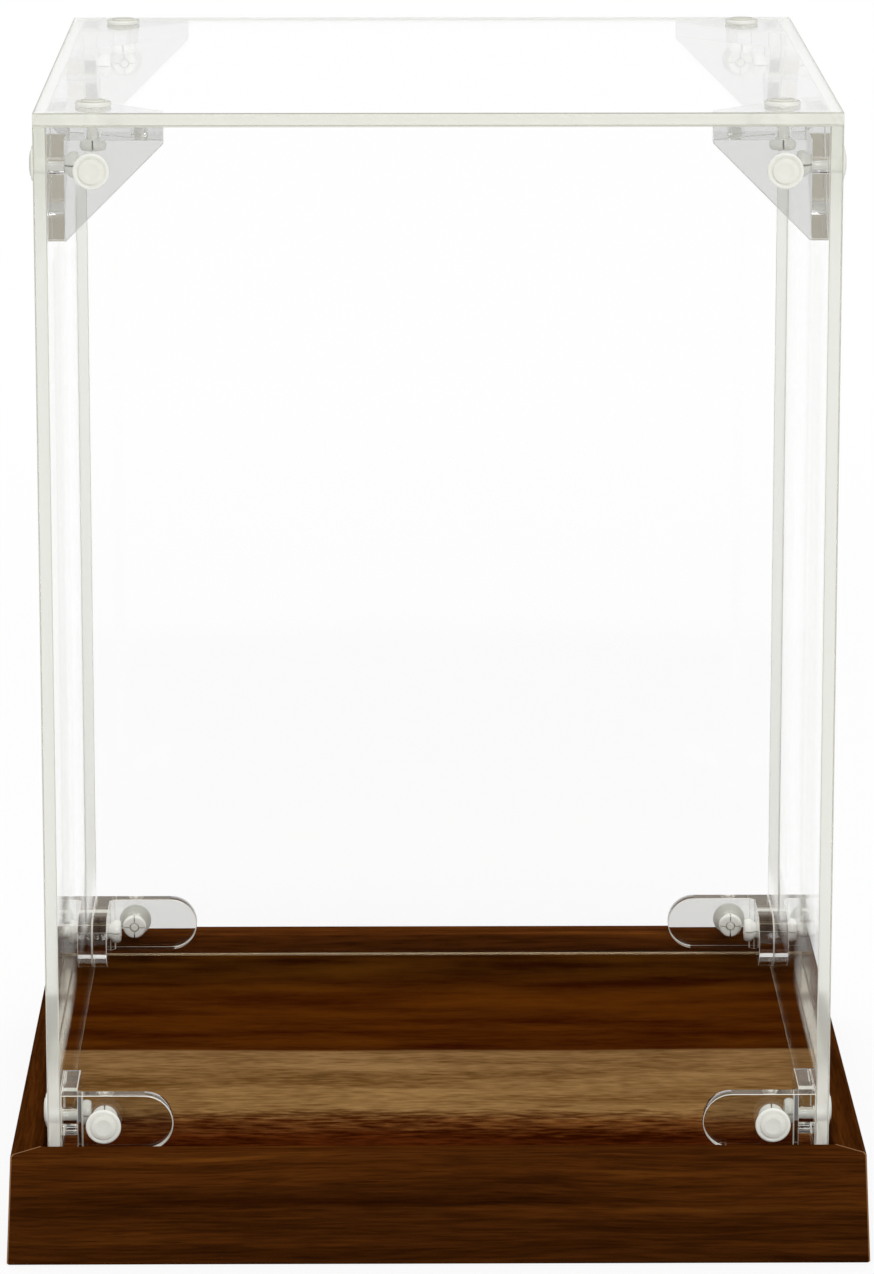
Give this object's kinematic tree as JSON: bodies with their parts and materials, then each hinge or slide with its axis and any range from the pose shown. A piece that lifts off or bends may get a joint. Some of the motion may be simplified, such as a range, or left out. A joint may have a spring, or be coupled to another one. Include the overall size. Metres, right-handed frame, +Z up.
{
  "type": "trading card display case",
  "caption": "Clear box cover of acrylic sheets, riveted at its corners to moulded fittings, standing in the recess of a dark mitred wooden tray base.",
  "frame": {"origin": "middle of the base's underside, on the surface that it stands on", "axes": "+Z up, -Y towards the viewer in front, +X to the viewer's right"},
  "size_m": [0.171, 0.171, 0.23],
  "materials": {
    "walnut_rail": "satin lacquer",
    "walnut_panel": "satin lacquer",
    "clear_acrylic": "polished clear sheet",
    "clear_moulding": "clear moulded",
    "natural_nylon": "milky translucent moulded"
  },
  "bodies": {
    "base": {"base_back_rail": "walnut_rail", "base_floor_panel": "walnut_panel", "base_front_rail": "walnut_rail", "base_left_rail": "walnut_rail", "base_right_rail": "walnut_rail"},
    "cover": {"back_sheet": "clear_acrylic", "front_sheet": "clear_acrylic", "left_sheet": "clear_acrylic", "lower_back_left_bracket": "clear_moulding", "lower_back_right_bracket": "clear_moulding", "lower_front_left_bracket": "clear_moulding", "lower_front_right_bracket": "clear_moulding", "lower_rivet_pins": "natural_nylon", "lower_rivet_sleeves": "natural_nylon", "right_sheet": "clear_acrylic", "top_sheet": "clear_acrylic", "upper_back_left_connector": "clear_moulding", "upper_back_right_connector": "clear_moulding", "upper_front_left_connector": "clear_moulding", "upper_front_right_connector": "clear_moulding", "upper_rivet_pins": "natural_nylon", "upper_rivet_sleeves": "natural_nylon"}
  },
  "joints": [
    {"name": "cover_lift", "type": "slide", "parent": "base", "child": "cover", "axis": [0, 0, 1], "range_m": [0, 0.23]}
  ]
}
